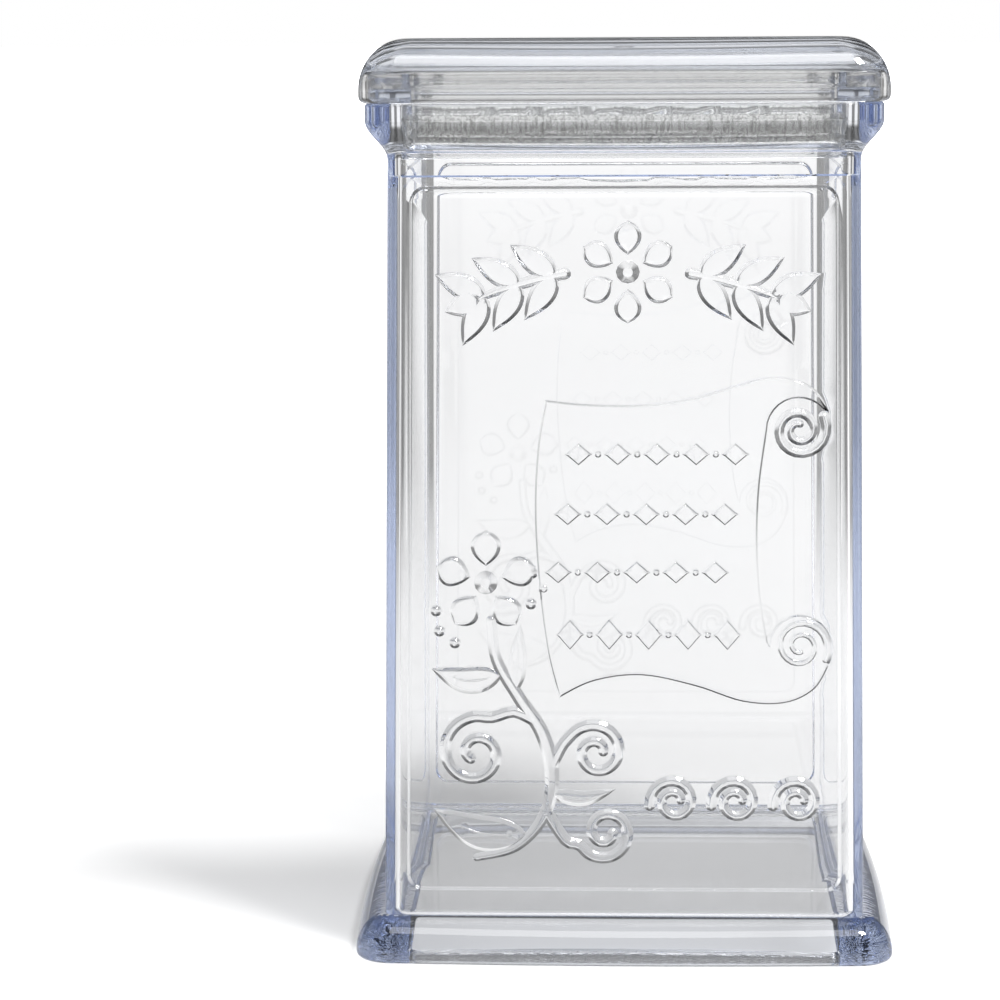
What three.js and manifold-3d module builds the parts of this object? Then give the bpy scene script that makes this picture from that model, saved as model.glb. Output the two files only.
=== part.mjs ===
// A square sugar jar of clear plastic with a lift-off lid, in millimetres.
// It stands on z = 0 with its middle over the origin, and its decorated front faces -Y.
import * as THREE from 'three';
import { mergeVertices } from 'three/addons/utils/BufferGeometryUtils.js';
import Module from 'manifold-3d';

const wasm = await Module();
wasm.setup();

// Jar: the body between foot and rim
const bodyWidth = 78; // across the flat sides, under the rim
const bodySpread = 3; // how much wider the body is at the foot
const bodyCorner = 2.5; // corner radius, seen from above
const jarHeight = 143.7; // table to the top of the rim
const wall = 1.9; // thickness of the sides
const innerCorner = 1.6; // corner radius of the inside
const floorThickness = 2.85;
const floorFillet = 1.4; // round between floor and sides

// Foot: a thick skirting with a rounded shoulder, hollow underneath
const footReach = 4.6; // how far it stands out at its corners
const footHeight = 7.2;
const footBow = 1.3; // how far each side swells at its middle
const footCorner = 5.5;
const footEdge = 1.1; // round at the table
const hollowHeight = 3.8; // hollow under the floor
const hollowInset = 2.5; // from the body's outer face to the side of the hollow
const hollowDraft = 0.3; // how much each side of the hollow leans in

// Rim: a bulging collar at the mouth
const rimHeight = 9.1; // from the end of its cove to the top
const rimReach = 3.3;
const rimBow = 1.3;
const rimCorner = 5;
const rimCove = 6.1; // height of the curve from body to collar
const rimRound = 0.5; // round at the top outer edge
const mouthInset = 0.6; // from the body's outer face to the side of the mouth
const mouthCorner = 5;
const mouthDepth = 7.7; // rim top to the ledge inside
const mouthBevel = 0.5;
const neckDepth = 11.8; // rim top to the small step under the ledge
const neckStep = 0.3; // how far that step stands in

// Sunken panels, one in each side
const panelSideFrame = 3.9; // flat frame left at each side
const panelTopFrame = 4.5; // up to the rim's cove
const panelBottomFrame = 4.5; // down to the foot
const panelDepth = 0.6;
const panelCorner = 2.7;

// Lid cover
const coverHeight = 10.6; // rim top to the top of the lid
const coverReach = 4.3; // how far it stands out from the body at its corners
const coverBow = 1.3;
const coverCorner = 5.5;
const coverTop = 4.9; // thickness of its top
const coverSkirt = 1.4; // thickness of its skirt
const coverShoulderReach = 7.4; // rounded shoulder, measured inwards
const coverShoulderHeight = 8.4;
const coverEdge = 1.1; // round at the skirt's lower edge
const coverInnerRound = 1.8;

// Lid plug: the tray that drops into the mouth
const plugGap = 1.75; // room between plug and mouth
const plugReach = 6.7; // how far it reaches down from the rim top
const plugWall = 1.8;
const plugFloor = 2;
const plugFloorFillet = 1;
const plugEdge = 0.5; // bevel at its lower edge
const brimHeight = 2.4; // thickness of the brim that rests on the rim
const grooveDepth = 0.8;
const grooveBottom = 1.4; // from the plug's underside to the groove
const grooveHeight = 3.7;

// Seal ring
const fitGap = 0.3; // clearance between fitted pieces
const sealLip = 0.55; // how far its two lips stand out from its web

// How fine the curves are
const cornerSteps = 4;
const sideSteps = 4;
const curveSteps = 5;
const roundSteps = 2;

// Heights and half widths that follow from the sizes above
const rimStart = jarHeight - rimHeight;
const floorTop = hollowHeight + floorThickness;
const bodyHalf = bodyWidth / 2;
const bodyFootHalf = bodyHalf + bodySpread / 2;
const lean = (bodySpread / 2) / (rimStart - footHeight); // how far a side moves in for each unit of height
const bodyHalfAt = (z) => bodyHalf + (rimStart - z) * lean;
const mouthHalf = bodyHalf - mouthInset;
const panelBottom = footHeight + panelBottomFrame;
const panelTop = rimStart - panelTopFrame;
const panelBottomWidth = 2 * (bodyHalfAt(panelBottom) - panelSideFrame);
const panelTopWidth = 2 * (bodyHalfAt(panelTop) - panelSideFrame);
const plugHalf = mouthHalf - plugGap;
const plugCorner = mouthCorner - plugGap;
const coverHalf = bodyHalf + coverReach;
const coverInnerHalf = coverHalf - coverSkirt;
const coverInnerCorner = coverCorner - coverSkirt;
const lidTop = jarHeight + coverHeight;
const coverCeiling = lidTop - coverTop;
const plugBottom = jarHeight - plugReach;

// One outline seen from above: a square with round corners and sides that swell by bow at their middle.
function outline({ half, corner, bow = 0 }) {
  const points = [];
  const straight = half - corner;
  for (let side = 0; side < 4; side++) {
    const turn = side * Math.PI / 2;
    const place = (x, y) => {
      const swollenX = x * (1 + (bow / half) * (1 - (y / half) ** 2));
      const swollenY = y * (1 + (bow / half) * (1 - (x / half) ** 2));
      points.push([
        swollenX * Math.cos(turn) - swollenY * Math.sin(turn),
        swollenX * Math.sin(turn) + swollenY * Math.cos(turn),
      ]);
    };
    for (let i = 0; i < sideSteps; i++) place(half, straight * (2 * i / sideSteps - 1));
    for (let i = 0; i < cornerSteps; i++) {
      const angle = (i / cornerSteps) * Math.PI / 2;
      place(straight + corner * Math.cos(angle), straight + corner * Math.sin(angle));
    }
  }
  return points;
}

// A solid skinned over a stack of outlines. An open stack is closed by a face at each end,
// and a looped stack joins its last outline to its first.
function skin(rings, looped = false) {
  const positions = [];
  const outlines = rings.map(outline);
  const count = outlines[0].length;
  outlines.forEach((points, level) => points.forEach(([x, y]) => positions.push(x, y, rings[level].z)));
  const index = [];
  const levels = looped ? rings.length : rings.length - 1;
  for (let level = 0; level < levels; level++) {
    const low = level * count;
    const high = ((level + 1) % rings.length) * count;
    for (let i = 0; i < count; i++) {
      const next = (i + 1) % count;
      index.push(low + i, low + next, high + next, low + i, high + next, high + i);
    }
  }
  if (!looped) {
    const closeEnd = (level, facesUp) => {
      const middle = positions.length / 3;
      positions.push(0, 0, rings[level].z);
      for (let i = 0; i < count; i++) {
        const a = level * count + i;
        const b = level * count + (i + 1) % count;
        index.push(...(facesUp ? [a, b, middle] : [b, a, middle]));
      }
    };
    closeEnd(0, false);
    closeEnd(rings.length - 1, true);
  }
  const geometry = new THREE.BufferGeometry();
  geometry.setAttribute('position', new THREE.Float32BufferAttribute(positions, 3));
  geometry.setIndex(index);
  return geometry;
}

// Shares from 0 to 1 in equal steps, both ends included.
const sharesOf = (steps) => Array.from({ length: steps + 1 }, (_, i) => i / steps);
const mix = (from, to, share) => from + (to - from) * share;
const smooth = (share) => share * share * (3 - 2 * share);

// Rings of a quarter round with its middle at half width `half` and height `z`.
// Both reaches may be negative, and the angle runs from start to end in quarter turns.
function quarter({ half, z, acrossReach, upReach, start, end, steps, corner, bow }) {
  return sharesOf(steps).map((share) => {
    const angle = mix(start, end, share) * Math.PI / 2;
    const across = acrossReach * Math.cos(angle);
    return { half: half + across, z: z + upReach * Math.sin(angle), corner: corner + across, bow };
  });
}

// Solids for cutting
const solidOf = (geometry) => {
  const bare = geometry.clone();
  bare.deleteAttribute('normal');
  bare.deleteAttribute('uv');
  const merged = mergeVertices(bare);
  return new wasm.Manifold(new wasm.Mesh({
    numProp: 3,
    vertProperties: new Float32Array(merged.attributes.position.array),
    triVerts: new Uint32Array(merged.index.array),
  }));
};
const geometryOf = (solid) => {
  const mesh = solid.getMesh();
  const geometry = new THREE.BufferGeometry();
  geometry.setAttribute('position', new THREE.Float32BufferAttribute(mesh.vertProperties, mesh.numProp));
  geometry.setIndex(new THREE.BufferAttribute(mesh.triVerts, 1));
  return geometry;
};

// A rectangle with round corners, centred across x and standing on y = 0.
function roundedPanel(width, height, radius) {
  const shape = new THREE.Shape();
  const side = width / 2;
  shape.moveTo(-side + radius, 0);
  shape.lineTo(side - radius, 0);
  shape.absarc(side - radius, radius, radius, -Math.PI / 2, 0);
  shape.lineTo(side, height - radius);
  shape.absarc(side - radius, height - radius, radius, 0, Math.PI / 2);
  shape.lineTo(-side + radius, height);
  shape.absarc(-side + radius, height - radius, radius, Math.PI / 2, Math.PI);
  shape.lineTo(-side, radius);
  shape.absarc(-side + radius, radius, radius, Math.PI, 3 * Math.PI / 2);
  return shape;
}

function makeJar() {
  const hollowHalf = bodyHalf - hollowInset;
  const footHalf = bodyFootHalf + footReach;
  const shoulderHeight = footHeight - footEdge;
  const underside = [
    { half: hollowHalf - hollowDraft, z: hollowHeight, corner: innerCorner },
    { half: hollowHalf, z: 0, corner: innerCorner },
  ];
  const footRound = quarter({
    half: footHalf - footEdge, z: footEdge, acrossReach: footEdge, upReach: footEdge,
    start: -1, end: 0, steps: roundSteps, corner: footCorner - footEdge, bow: footBow,
  });
  const shoulder = sharesOf(curveSteps).slice(1).map((share) => {
    const angle = share * Math.PI / 2;
    const out = Math.cos(angle);
    return {
      half: bodyFootHalf + footReach * out,
      z: footEdge + shoulderHeight * Math.sin(angle),
      corner: mix(bodyCorner, footCorner, out),
      bow: footBow * out,
    };
  });
  const cove = sharesOf(curveSteps + 1).map((share) => ({
    half: bodyHalf + rimReach * smooth(share),
    z: rimStart + rimCove * share,
    corner: mix(bodyCorner, rimCorner, smooth(share)),
    bow: rimBow * smooth(share),
  }));
  const rimEdge = quarter({
    half: bodyHalf + rimReach - rimRound, z: jarHeight - rimRound, acrossReach: rimRound, upReach: rimRound,
    start: 0, end: 1, steps: roundSteps, corner: rimCorner - rimRound, bow: rimBow,
  });
  const innerHalfAt = (z) => bodyHalfAt(z) - wall;
  const ledge = jarHeight - mouthDepth;
  const neck = jarHeight - neckDepth;
  const inside = [
    { half: mouthHalf + mouthBevel, z: jarHeight, corner: mouthCorner + mouthBevel },
    { half: mouthHalf, z: jarHeight - mouthBevel, corner: mouthCorner },
    { half: mouthHalf, z: ledge, corner: mouthCorner },
    { half: innerHalfAt(neck) + neckStep, z: ledge, corner: innerCorner + neckStep },
    { half: innerHalfAt(neck) + neckStep, z: neck, corner: innerCorner + neckStep },
    { half: innerHalfAt(neck), z: neck - neckStep, corner: innerCorner },
  ];
  const floorRound = sharesOf(roundSteps).map((share) => {
    const angle = share * Math.PI / 2;
    return {
      half: innerHalfAt(floorTop) - floorFillet * (1 - Math.cos(angle)),
      z: floorTop + floorFillet * (1 - Math.sin(angle)),
      corner: innerCorner,
    };
  });
  const rings = [...underside, ...footRound, ...shoulder, ...cove, ...rimEdge, ...inside, ...floorRound];
  let jar = solidOf(skin(rings));

  // The cutter for a panel narrows and leans as the sides do, and it reaches past the foot,
  // so it leaves the same frame and the same depth everywhere.
  const cutReach = footReach + footBow;
  const panelHeight = panelTop - panelBottom;
  const cutter = new THREE.ExtrudeGeometry(roundedPanel(panelBottomWidth, panelHeight, panelCorner), {
    depth: panelDepth + cutReach, bevelEnabled: false, curveSegments: cornerSteps,
  });
  const corners = cutter.attributes.position;
  for (let i = 0; i < corners.count; i++) {
    const upShare = corners.getY(i) / panelHeight;
    corners.setX(i, corners.getX(i) * mix(1, panelTopWidth / panelBottomWidth, upShare));
  }
  cutter.rotateX(Math.PI / 2);
  cutter.translate(0, panelDepth, 0);
  cutter.rotateX(-Math.atan(lean));
  cutter.translate(0, -bodyHalfAt(panelBottom), panelBottom);
  for (let side = 0; side < 4; side++) {
    jar = jar.subtract(solidOf(cutter.clone().rotateZ(side * Math.PI / 2)));
  }
  return geometryOf(jar);
}

function makeCover() {
  const inner = [
    ...quarter({
      half: coverInnerHalf - coverInnerRound, z: coverCeiling - coverInnerRound,
      acrossReach: coverInnerRound, upReach: coverInnerRound,
      start: 1, end: 0, steps: roundSteps, corner: coverInnerCorner - coverInnerRound, bow: coverBow,
    }),
    { half: coverInnerHalf, z: jarHeight, corner: coverInnerCorner, bow: coverBow },
  ];
  const edge = quarter({
    half: coverHalf - coverEdge, z: jarHeight + coverEdge, acrossReach: coverEdge, upReach: coverEdge,
    start: -1, end: 0, steps: roundSteps, corner: coverCorner - coverEdge, bow: coverBow,
  });
  const shoulder = sharesOf(curveSteps + 1).map((share) => {
    const angle = share * Math.PI / 2;
    const drop = coverShoulderReach * (1 - Math.cos(angle));
    return {
      half: coverHalf - drop,
      z: lidTop - coverShoulderHeight * (1 - Math.sin(angle)),
      corner: coverCorner - drop * (coverCorner - plugCorner) / coverShoulderReach,
      bow: coverBow * Math.cos(angle),
    };
  });
  return skin([...inner, ...edge, ...shoulder]);
}

function makePlug() {
  const innerHalf = plugHalf - plugWall;
  const brimHalf = coverInnerHalf - fitGap;
  const grooveZ = plugBottom + grooveBottom;
  const wallRing = (half, z) => ({ half, z, corner: plugCorner + half - plugHalf });
  const brimRing = (half, z) => ({ half, z, corner: coverInnerCorner - fitGap + half - brimHalf, bow: coverBow });
  const rings = [
    wallRing(plugHalf - plugEdge, plugBottom),
    wallRing(plugHalf, plugBottom + plugEdge),
    wallRing(plugHalf, grooveZ),
    wallRing(plugHalf - grooveDepth, grooveZ),
    wallRing(plugHalf - grooveDepth, grooveZ + grooveHeight),
    wallRing(plugHalf, grooveZ + grooveHeight),
    wallRing(plugHalf, jarHeight),
    brimRing(brimHalf, jarHeight),
    brimRing(brimHalf, jarHeight + brimHeight),
    wallRing(plugHalf, jarHeight + brimHeight),
    wallRing(plugHalf, coverCeiling),
    wallRing(innerHalf, coverCeiling),
    wallRing(innerHalf, plugBottom + plugFloor + plugFloorFillet),
    wallRing(innerHalf - plugFloorFillet * (1 - Math.SQRT1_2), plugBottom + plugFloor
      + plugFloorFillet * (1 - Math.SQRT1_2)),
    wallRing(innerHalf - plugFloorFillet, plugBottom + plugFloor),
  ];
  return skin(rings);
}

function makeSeal() {
  const backHalf = plugHalf - grooveDepth + fitGap;
  const lipHalf = mouthHalf - fitGap;
  const webHalf = lipHalf - sealLip;
  const bottom = plugBottom + grooveBottom;
  const height = grooveHeight - fitGap;
  const lipHeightShare = 0.3;
  const notchShare = 0.12;
  const ring = (half, heightShare) => ({
    half, z: bottom + height * heightShare, corner: plugCorner + half - plugHalf,
  });
  return skin([
    ring(backHalf, 0),
    ring(webHalf, 0),
    ring(lipHalf, notchShare),
    ring(lipHalf, lipHeightShare),
    ring(webHalf, lipHeightShare + notchShare),
    ring(webHalf, 1 - lipHeightShare - notchShare),
    ring(lipHalf, 1 - lipHeightShare),
    ring(lipHalf, 1 - notchShare),
    ring(webHalf, 1),
    ring(backHalf, 1),
  ], true);
}

const clearPlastic = { color: 0xdfe4ee, roughness: 0.06, metalness: 0 };
const clearRubber = { color: 0xc9ccc6, roughness: 0.5, metalness: 0 };

function piece(name, geometry, look) {
  const mesh = new THREE.Mesh(geometry, new THREE.MeshStandardMaterial(look));
  mesh.name = name;
  return mesh;
}

const lid = new THREE.Group();
lid.add(
  piece('lid_cover', makeCover(), clearPlastic),
  piece('lid_plug', makePlug(), clearPlastic),
  piece('seal_ring', makeSeal(), clearRubber),
);

const sugarJar = new THREE.Group();
sugarJar.add(piece('jar_body', makeJar(), clearPlastic), lid);

export default sugarJar;
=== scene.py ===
from math import cos, hypot, pi, radians, sin

import bmesh
import bpy
from mathutils import Matrix, Vector


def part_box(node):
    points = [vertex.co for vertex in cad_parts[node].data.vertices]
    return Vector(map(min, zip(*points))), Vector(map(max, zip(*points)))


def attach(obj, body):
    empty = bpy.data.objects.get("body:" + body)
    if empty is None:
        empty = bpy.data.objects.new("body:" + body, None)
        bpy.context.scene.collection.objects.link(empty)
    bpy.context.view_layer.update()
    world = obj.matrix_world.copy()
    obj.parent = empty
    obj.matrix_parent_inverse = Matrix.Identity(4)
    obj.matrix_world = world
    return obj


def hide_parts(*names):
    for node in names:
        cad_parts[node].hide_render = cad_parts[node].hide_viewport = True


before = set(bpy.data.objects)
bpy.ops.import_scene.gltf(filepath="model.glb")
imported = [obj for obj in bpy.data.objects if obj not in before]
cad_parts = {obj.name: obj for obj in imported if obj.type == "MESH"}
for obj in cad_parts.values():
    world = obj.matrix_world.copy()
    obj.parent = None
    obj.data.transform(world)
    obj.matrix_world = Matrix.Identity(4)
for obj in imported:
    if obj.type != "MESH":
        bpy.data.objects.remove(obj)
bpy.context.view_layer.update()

mm = 0.001
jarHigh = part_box("jar_body")[1]
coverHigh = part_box("lid_cover")[1]


# Camera, at the photograph's angle: level with the lid and looking slightly down
cameraView = {
    "place": (1.48 * mm, -576.52 * mm, 155.78 * mm),
    "down": 8.217,   # degrees
    "left": 2.349,   # degrees, because the jar stands right of the middle
    "roll": -0.309,  # degrees
    "lens": 117.53,  # millimetres, on a 36 mm sensor
}


def makeCamera():
    data = bpy.data.cameras.new("camera")
    data.sensor_width = 36
    data.lens = cameraView["lens"]
    data.clip_start, data.clip_end = 0.01, 100
    camera = bpy.data.objects.new("camera", data)
    turn = Matrix.Rotation(radians(cameraView["left"]), 3, "Z")
    turn @= Matrix.Rotation(radians(90 - cameraView["down"]), 3, "X")
    turn @= Matrix.Rotation(radians(cameraView["roll"]), 3, "Z")
    camera.location = cameraView["place"]
    camera.rotation_euler = turn.to_euler()
    bpy.context.scene.collection.objects.link(camera)
    bpy.context.scene.camera = camera


# Outlines and skins. All sizes are in millimetres, and meshes are made in metres.
detail = {
    "corner": 10, "side": 10, "curve": 14, "round": 5,
    "square": 4.0, "facing": -0.999,   # squares that a flat front is cut into, and what counts as front
    "merge": 0.0001, "sharpAngle": 32,
}


def outline(half, corner, bow=0.0):   # a square with round corners, whose sides swell by bow at their middle
    straight = half - corner
    points = []
    for side in range(4):
        turn = side * pi / 2
        flat = [(half, straight * (2 * i / detail["side"] - 1)) for i in range(detail["side"])]
        bend = [(straight + corner * cos(a), straight + corner * sin(a))
                for a in (i / detail["corner"] * pi / 2 for i in range(detail["corner"]))]
        for x, y in flat + bend:
            swollenX = x * (1 + bow / half * (1 - (y / half) ** 2))
            swollenY = y * (1 + bow / half * (1 - (x / half) ** 2))
            points.append((swollenX * cos(turn) - swollenY * sin(turn),
                           swollenX * sin(turn) + swollenY * cos(turn)))
    return points


def makeObject(name, verts, faces):
    mesh = bpy.data.meshes.new(name)
    mesh.from_pydata([(x * mm, y * mm, z * mm) for x, y, z in verts], [], faces)
    piece = bpy.data.objects.new(name, mesh)
    bpy.context.scene.collection.objects.link(piece)
    return piece


def faceOutwards(piece):
    solid = bmesh.new()
    solid.from_mesh(piece.data)
    bmesh.ops.recalc_face_normals(solid, faces=solid.faces)
    solid.to_mesh(piece.data)
    solid.free()
    return piece


def loft(name, loops, looped=False):   # a closed mesh over a stack of point loops
    count = len(loops[0])
    faces = []
    levels = len(loops) if looped else len(loops) - 1
    for level in range(levels):
        low, high = level * count, (level + 1) % len(loops) * count
        for i in range(count):
            j = (i + 1) % count
            faces.append((low + i, low + j, high + j, high + i))
    if not looped:
        last = (len(loops) - 1) * count
        faces.append(tuple(range(count - 1, -1, -1)))
        faces.append(tuple(last + i for i in range(count)))
    return faceOutwards(makeObject(name, [point for loop in loops for point in loop], faces))


def skin(name, rings, looped=False):   # each ring is half width, height, corner and bow
    return loft(name, [[(x, y, z) for x, y in outline(half, corner, bow)]
                       for half, z, corner, bow in rings], looped)


def shares(steps):
    return [i / steps for i in range(steps + 1)]


def mix(low, high, share):
    return low + (high - low) * share


def smooth(share):
    return share * share * (3 - 2 * share)


def quarter(half, z, across, up, start, end, corner, bow, steps=None):   # angles are in quarter turns
    rings = []
    for share in shares(steps or detail["round"]):
        angle = mix(start, end, share) * pi / 2
        out = across * cos(angle)
        rings.append((half + out, z + up * sin(angle), corner + out, bow))
    return rings


def divideFront(piece):   # cuts large flat fronts into squares, so that later unions leave no long thin faces
    square = detail["square"] * mm
    solid = bmesh.new()
    solid.from_mesh(piece.data)

    def fronts(size):
        return [face for face in solid.faces
                if face.normal.y < detail["facing"] and face.calc_area() > size ** 2]

    for normal in (Vector((1, 0, 0)), Vector((0, 0, 1))):
        reach = [vert.co.dot(normal) for face in fronts(square) for vert in face.verts]
        cut = (min(reach) // square + 1) * square
        while cut < max(reach):
            near = []
            for face in fronts(square / 4):
                along = [vert.co.dot(normal) for vert in face.verts]
                if min(along) < cut < max(along):
                    near += [face, *face.edges, *face.verts]
            bmesh.ops.bisect_plane(solid, geom=list(dict.fromkeys(near)), dist=detail["merge"] * mm,
                                   plane_co=normal * cut, plane_no=normal)
            cut += square
    solid.to_mesh(piece.data)
    solid.free()
    return piece


def combine(base, other, operation="UNION"):
    modifier = base.modifiers.new("combine", "BOOLEAN")
    modifier.operation = operation
    modifier.solver = "MANIFOLD"
    modifier.object = other
    mesh = bpy.data.meshes.new_from_object(base.evaluated_get(bpy.context.evaluated_depsgraph_get()))
    base.modifiers.clear()
    base.data = mesh
    bpy.data.objects.remove(other)


# Jar
jar = {
    "height": jarHigh.z / mm,
    "bodyHalf": 39.0, "spread": 1.5, "corner": 2.5,
    "wall": 1.9, "innerCorner": 1.6, "floor": 6.65, "floorFillet": 1.4,
    "footReach": 4.6, "footHeight": 7.2, "footBow": 1.3, "footCorner": 5.5, "footEdge": 1.1,
    "hollowHeight": 3.8, "hollowHalf": 36.5, "hollowDraft": 0.3, "hollowRound": 0.5, "hollowBevel": 0.25,
    "rimHeight": 9.1, "rimReach": 3.3, "rimBow": 1.3, "rimCorner": 5.0, "rimCove": 6.1, "rimRound": 0.5,
    "mouthHalf": 38.4, "mouthCorner": 5.0, "mouthDepth": 7.7, "mouthBevel": 0.5,
    "neckDepth": 11.8, "neckStep": 0.3, "ledgeRound": 0.5, "ledgeEdge": 0.3,
    "flatEnd": 0.05,   # a narrow flat strip under the rim, which keeps the shading of the flat face even
    "panelFrame": 3.9, "panelTop": 130.1, "panelBottom": 11.7, "panelDepth": 0.6, "panelCorner": 2.7,
}
rimStart = jar["height"] - jar["rimHeight"]
lean = jar["spread"] / (rimStart - jar["footHeight"])


def bodyHalfAt(z):
    return jar["bodyHalf"] + (rimStart - z) * lean


def panelHalfAt(z):
    return bodyHalfAt(z) - jar["panelFrame"]


def makeJar():
    j = jar
    hollow = j["hollowHalf"] - j["hollowDraft"]
    footHalf = j["bodyHalf"] + j["spread"] + j["footReach"]
    rings = [(hollow - j["hollowRound"] * (1 - sin(s * pi / 2)),
              j["hollowHeight"] - j["hollowRound"] * (1 - cos(s * pi / 2)), j["innerCorner"], 0)
             for s in shares(4)]
    rings.append((j["hollowHalf"], j["hollowBevel"], j["innerCorner"], 0))
    rings.append((j["hollowHalf"] + j["hollowBevel"], 0, j["innerCorner"], 0))
    rings += quarter(footHalf - j["footEdge"], j["footEdge"], j["footEdge"], j["footEdge"], -1, 0,
                     j["footCorner"] - j["footEdge"], j["footBow"])
    for s in shares(detail["curve"])[1:]:
        out, up = cos(s * pi / 2), sin(s * pi / 2)
        rings.append((footHalf - j["footReach"] * (1 - out),
                      j["footEdge"] + (j["footHeight"] - j["footEdge"]) * up,
                      mix(j["corner"], j["footCorner"], out), j["footBow"] * out))
    rings.append((bodyHalfAt(rimStart - j["flatEnd"]), rimStart - j["flatEnd"], j["corner"], 0))
    for s in shares(detail["curve"]):
        rings.append((j["bodyHalf"] + j["rimReach"] * smooth(s), rimStart + j["rimCove"] * s,
                      mix(j["corner"], j["rimCorner"], smooth(s)), j["rimBow"] * smooth(s)))
    rings += quarter(j["bodyHalf"] + j["rimReach"] - j["rimRound"], j["height"] - j["rimRound"],
                     j["rimRound"], j["rimRound"], 0, 1, j["rimCorner"] - j["rimRound"], j["rimBow"])
    ledge, neck = j["height"] - j["mouthDepth"], j["height"] - j["neckDepth"]
    neckHalf = bodyHalfAt(neck) - j["wall"]
    stepHalf, stepCorner = neckHalf + j["neckStep"], j["innerCorner"] + j["neckStep"]
    rings += quarter(j["mouthHalf"] + j["mouthBevel"], j["height"] - j["mouthBevel"], -j["mouthBevel"],
                     j["mouthBevel"], 1, 0, j["mouthCorner"] + j["mouthBevel"], 0, 4)
    rings += quarter(j["mouthHalf"] - j["ledgeRound"], ledge + j["ledgeRound"], j["ledgeRound"],
                     -j["ledgeRound"], 0, 1, j["mouthCorner"] - j["ledgeRound"], 0, 4)
    rings += quarter(stepHalf + j["ledgeEdge"], ledge - j["ledgeEdge"], -j["ledgeEdge"], j["ledgeEdge"], 1, 0,
                     stepCorner + j["ledgeEdge"], 0, 3)
    rings += [(stepHalf, neck, stepCorner, 0), (neckHalf, neck - j["neckStep"], j["innerCorner"], 0)]
    floorHalf = bodyHalfAt(j["floor"]) - j["wall"]
    for s in shares(6):
        rings.append((floorHalf - j["floorFillet"] * (1 - cos(s * pi / 2)),
                      j["floor"] + j["floorFillet"] * (1 - sin(s * pi / 2)), j["innerCorner"], 0))
    body = skin("jarBody", rings)
    for side in range(4):
        combine(body, makePanelCutter(side), "DIFFERENCE")
    return divideFront(body)


# Cuts one sunken panel. Its profile is (inset from the outline, share of the panel's depth).
panelProfile = [(-0.12, -1.667), (-0.12, 0.0), (-0.03, 0.05), (0.05, 0.167), (0.3, 0.767), (0.38, 0.917),
                (0.5, 1.0)]


def makePanelCutter(side):
    j = jar
    low, high = j["panelBottom"], j["panelTop"]
    half = panelHalfAt(low)
    loops = []
    for inset, depth in panelProfile:
        radius = j["panelCorner"] - inset
        loop = []
        for cornerX, cornerZ, start in ((half, low, -1), (half, high, 0), (-half, high, 1), (-half, low, 2)):
            middleX = cornerX - (1 if cornerX > 0 else -1) * j["panelCorner"]
            middleZ = cornerZ - (1 if cornerZ == high else -1) * j["panelCorner"]
            for s in shares(8):
                angle = (start + s) * pi / 2
                loop.append((middleX + radius * cos(angle), middleZ + radius * sin(angle)))
        turn = side * pi / 2
        placed = [(x * panelHalfAt(z) / half, depth * j["panelDepth"] - bodyHalfAt(z), z) for x, z in loop]
        loops.append([(x * cos(turn) - y * sin(turn), x * sin(turn) + y * cos(turn), z)
                      for x, y, z in placed])
    return loft("panelCutter", loops)


# Relief on the front panel. Lines and outlines are lists of (x, z) seen from the front, and heights stand
# out from the panel. They are laid out on a straight panel and then drawn in to the real one, which narrows
# upwards.
layout = {"half": 36.25, "low": 11.2, "high": 129.9, "middleRise": 0.83}
relief = {
    "height": 0.6,
    "sunk": 0.3,       # how deep a form's base sits in the panel
    "edge": 0.75,      # how far in from its outline a form reaches its full height
    "edgeMost": 0.9,   # the most of a form's half width that its edge takes up
    "thinTop": 0.5,    # the share of the full height that the thinnest form has
    "tip": 0.12,       # half width at the tip of a leaf
    "windIn": 0.85,    # how early a curl winds in, less for earlier
    "beadLine": 0.02,  # half length of the line that a bead is made along
    "beadEdge": 0.7,   # how much of a bead's half width its edge takes up
    "capSteps": 6,
}
# Share of the way in from the outline, share of the height
edgeProfile = [(0.0, 0.0), (0.08, 0.14), (0.75, 0.88), (0.88, 0.965), (1.0, 1.0)]


def panelFace(z):
    return -(bodyHalfAt(z) - jar["panelDepth"])


def smoothLine(points, steps=6):   # a curve through the points
    line = []
    for i in range(len(points) - 1):
        before, after = points[max(i - 1, 0)], points[min(i + 2, len(points) - 1)]
        start, end = points[i], points[i + 1]
        for step in range(steps):
            t = step / steps
            line.append(tuple(0.5 * (2 * b + (c - a) * t + (2 * a - 5 * b + 4 * c - d) * t ** 2
                                     + (3 * b - a - 3 * c + d) * t ** 3)
                              for a, b, c, d in zip(before, start, end, after)))
    return line + [points[-1]]


def spiral(centre, fromRadius, toRadius, start, turns, steps=14):   # start in degrees, turns may be negative
    count = max(4, round(abs(turns) * steps))
    points = []
    for s in shares(count):
        angle, radius = radians(start) + turns * 2 * pi * s, mix(fromRadius, toRadius, s ** relief["windIn"])
        points.append((centre[0] + radius * cos(angle), centre[1] + radius * sin(angle)))
    return points


def taper(start, middle, end):   # a half width that changes along a line
    return lambda s: mix(start, middle, smooth(2 * s)) if s < 0.5 else mix(middle, end, smooth(2 * s - 1))


def leafWidth(half, bulge=0.75, fullness=0.8):
    return lambda s: max(relief["tip"], half * sin(pi * s ** bulge) ** fullness if 0 < s < 1 else 0)


def directions(points, closed=False):
    count, found = len(points), []
    for i in range(count):
        (x0, z0), (x1, z1) = ((points[i - 1], points[(i + 1) % count]) if closed
                              else (points[max(i - 1, 0)], points[min(i + 1, count - 1)]))
        length = hypot(x1 - x0, z1 - z0)
        found.append(((x1 - x0) / length, (z1 - z0) / length))
    return found


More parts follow.
